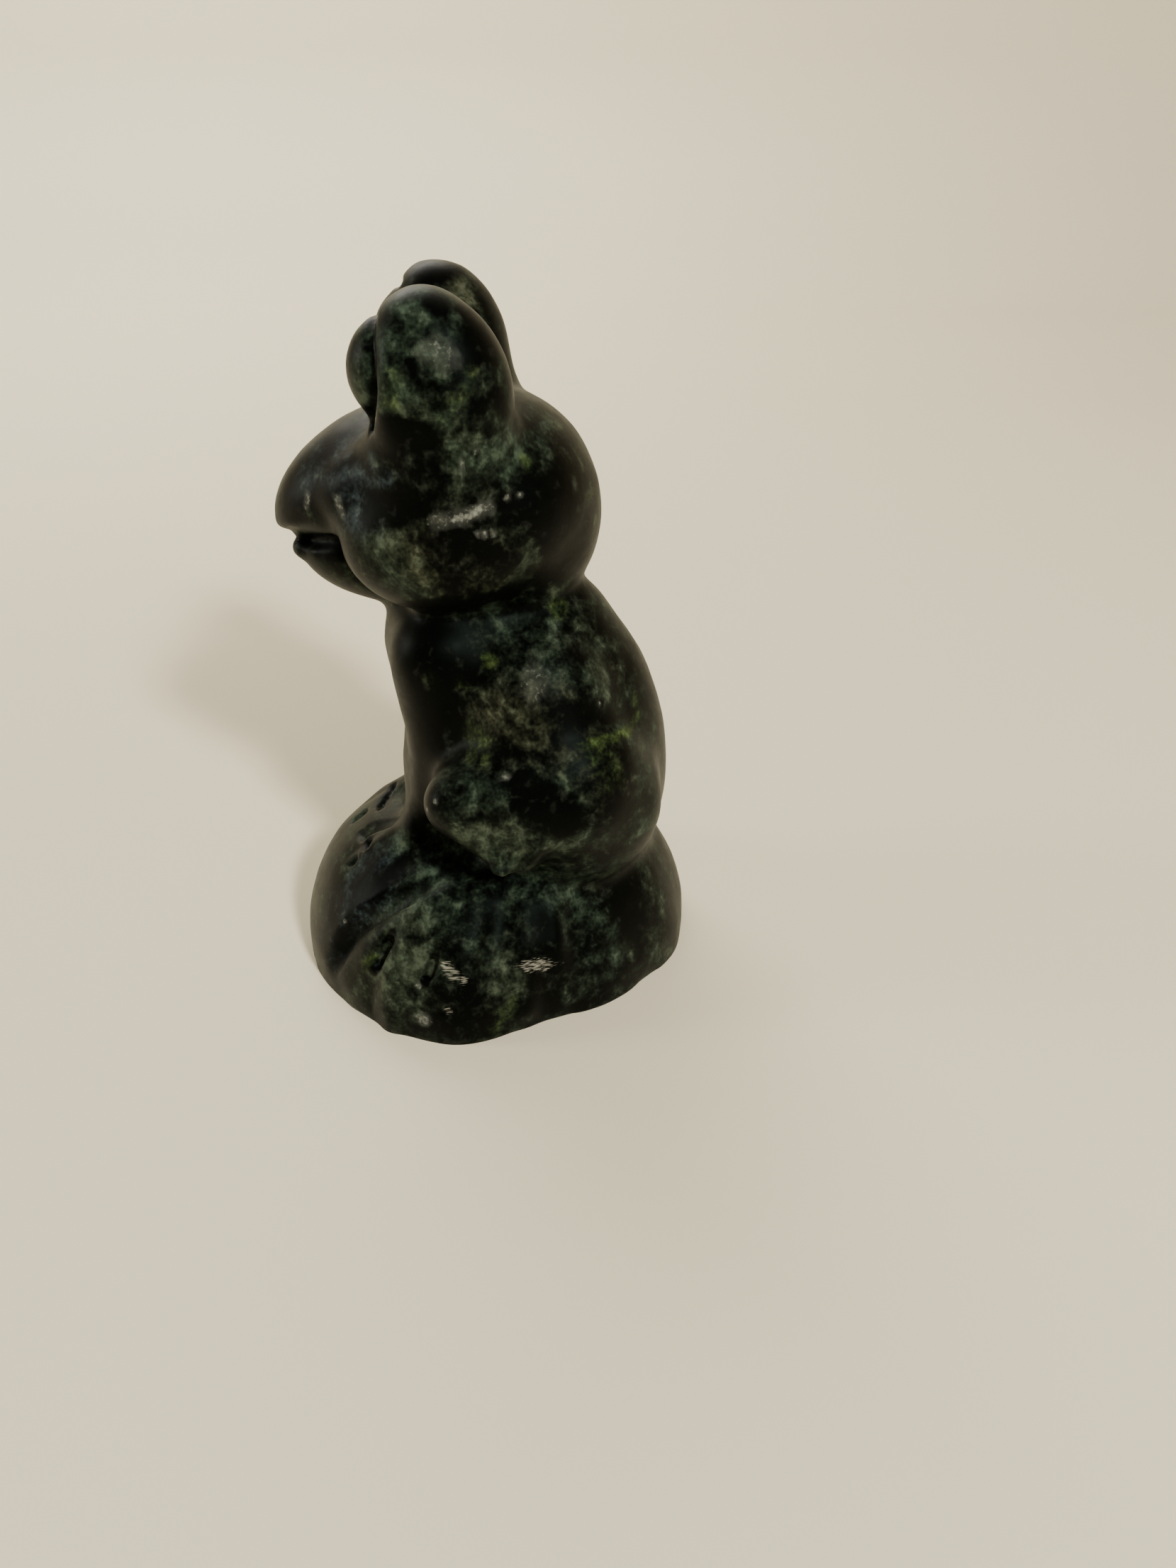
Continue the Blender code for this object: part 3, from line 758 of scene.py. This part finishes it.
# %% [markdown]
# ## Wax and fine scratches
# The wax evens out the gloss. It reflects little straight on and much more at a glancing angle, which gives
# the stone its pale rims. The worn spots have lost the wax: there the stone is scratched to a pale powder in
# short lines, 2 mm long from front to back and a sixth of a millimetre high, and the pale colour also paints
# the glints that light makes on them. Real scratches are finer, and these are drawn coarse enough to show.

# %% Set the gloss and the fine bumps
SCRATCH_GRAIN = 0.5 * MM
SCRATCH_STRETCH = (1.0, 0.25, 3.0)  # along x, y and z: below 1 draws the grain out, above 1 thins it
# Pale powder of scratched stone, which also paints the glints of light on the worn spots.
POWDER_AND_GLINT = "#8b887b"
BUMP_HEIGHT = 0.12 * MM
BUMP_STRENGTH = 0.35
ROUGHNESS = 0.34         # where the stone is glossiest
MOTTLE_ROUGHNESS = 0.22  # what the mottling adds to it at most
STONE_IOR = 1.56         # serpentine
WAX_LEVEL = 0.12         # low, so that the dark stone stays dark above a pale floor
WAX_TINT = "#5e6b67"     # tints what is reflected straight on, and leaves the rims pale

stretched = add_node(tree, "ShaderNodeMapping", None, {"Scale": SCRATCH_STRETCH},
                     {"Vector": where}).outputs[0]
scratches = add_node(tree, "ShaderNodeTexNoise", None, {"Scale": 1 / SCRATCH_GRAIN, "Detail": 3.0},
                     {"Vector": stretched}).outputs["Fac"]
# The worn spots: real pale scratches, and a painted glint where the light catches them.
worn = frayed(marks[WORN_AND_GLINT], low=0.95, high=1.7, grain=scratches, raggedness=3.0)
tree.links.new(blend(worn, colour, POWDER_AND_GLINT), shader.inputs["Base Color"])
height = weighed_sum(0.0, (specks, 0.25), (mottle, 0.5), (worn, 1.5))
bumps = add_node(tree, "ShaderNodeBump", None, {"Strength": BUMP_STRENGTH, "Distance": BUMP_HEIGHT},
                 {"Height": height})
tree.links.new(bumps.outputs["Normal"], shader.inputs["Normal"])
tree.links.new(weighed_sum(ROUGHNESS, (mottle, MOTTLE_ROUGHNESS)), shader.inputs["Roughness"])
shader.inputs["IOR"].default_value = STONE_IOR
shader.inputs["Specular IOR Level"].default_value = WAX_LEVEL
shader.inputs["Specular Tint"].default_value = stone_colour(WAX_TINT)
frog.data.materials.append(stone)
print("stone has", len(tree.nodes), "nodes")

# %% [markdown]
# ## Floor and backdrop
# The stone is dark and glossy, so what it reflects makes part of its look. A pale paper floor that curves
# up on all four sides gives it light rims, and every view has the same plain backdrop. It is built as
# rings of four corners, each farther out and higher, and a bevel rounds the folds between them.

# %% Lay the floor and its backdrop
FLOOR = (-0.45, 1.5, -1.5, 1.5)  # metres: from and to along x, from and to along y
CURVE = ((0, 0), (0.17, 0.03), (0.27, 0.12), (0.3, 0.3), (0.3, 2.2))  # metres: out from the floor and up
FOLD_WIDTH = 0.04                # metres
FOLD_STEPS = 6
PAPER_COLOUR = "#ddd3b9"
PAPER_ROUGHNESS = 0.9

sheet = bmesh.new()
rings = []
for outward, up in CURVE:
    west, east = FLOOR[0] - outward, FLOOR[1] + outward
    south, north = FLOOR[2] - outward, FLOOR[3] + outward
    corners = ((west, south), (east, south), (east, north), (west, north))
    rings.append([sheet.verts.new((x, y, up)) for x, y in corners])
sheet.faces.new(rings[0])
for low, high in zip(rings, rings[1:]):
    for i in range(4):
        sheet.faces.new((low[i - 3], low[i], high[i], high[i - 3]))
sweep_mesh = bpy.data.meshes.new("paper_sweep")
sheet.to_mesh(sweep_mesh)
sheet.free()
sweep = bpy.data.objects.new("paper_sweep", sweep_mesh)
bpy.context.scene.collection.objects.link(sweep)
curl = sweep.modifiers.new("curl", "BEVEL")
curl.width = FOLD_WIDTH
curl.segments = FOLD_STEPS
sweep_mesh.shade_smooth()
paper = bpy.data.materials.new("matt_paper")
paper.use_nodes = True
paper_shader = paper.node_tree.nodes["Principled BSDF"]
paper_shader.inputs["Base Color"].default_value = stone_colour(PAPER_COLOUR)
paper_shader.inputs["Roughness"].default_value = PAPER_ROUGHNESS
sweep_mesh.materials.append(paper)
print("floor of", len(sweep_mesh.polygons), "faces")

# %% [markdown]
# ## Light
# A small lamp high behind the camera, to its right, gives the glints and the soft shadow. A window in
# front of the frog lights its face, a third light brightens the paper behind it, and the dim room fills
# in the rest evenly.

# %% Hang the lights
STONE_MIDDLE = (0, 0, 0.05)
LIGHTS = (  # name, place and aim in metres, width in metres, watts
    ("ceiling_lamp", (0.78, 0.46, 0.71), STONE_MIDDLE, 0.12, 18.5),
    ("window", (0.02, -1.0, 0.4), STONE_MIDDLE, 0.26, 4.8),
    ("wall_wash", (-0.6, -0.25, 0.6), (-0.5, -0.15, 0), 0.5, 6.5),
)
LAMP_COLOUR = "#fdfcf4"
ROOM_COLOUR = "#b4b2a8"
ROOM_STRENGTH = 0.4

for name, place, aim, width, watts in LIGHTS:
    light = bpy.data.lights.new(name, "AREA")
    light.size = width
    light.energy = watts
    light.color = stone_colour(LAMP_COLOUR)[:3]
    lamp = bpy.data.objects.new(name, light)
    lamp.location = place
    lamp.rotation_euler = (Vector(aim) - Vector(place)).to_track_quat("-Z", "Y").to_euler()
    bpy.context.scene.collection.objects.link(lamp)

world = bpy.data.worlds.new("dim_room")
world.use_nodes = True
bpy.context.scene.world = world
room = world.node_tree.nodes["Background"]
room.inputs["Strength"].default_value = ROOM_STRENGTH
room.inputs["Color"].default_value = stone_colour(ROOM_COLOUR)
print(len(LIGHTS), "lights,", round(sum(row[-1] for row in LIGHTS), 1), "watts in all")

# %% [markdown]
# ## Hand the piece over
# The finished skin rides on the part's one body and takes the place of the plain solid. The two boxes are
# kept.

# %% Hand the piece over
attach(frog, "root")
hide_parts("frog_carving")
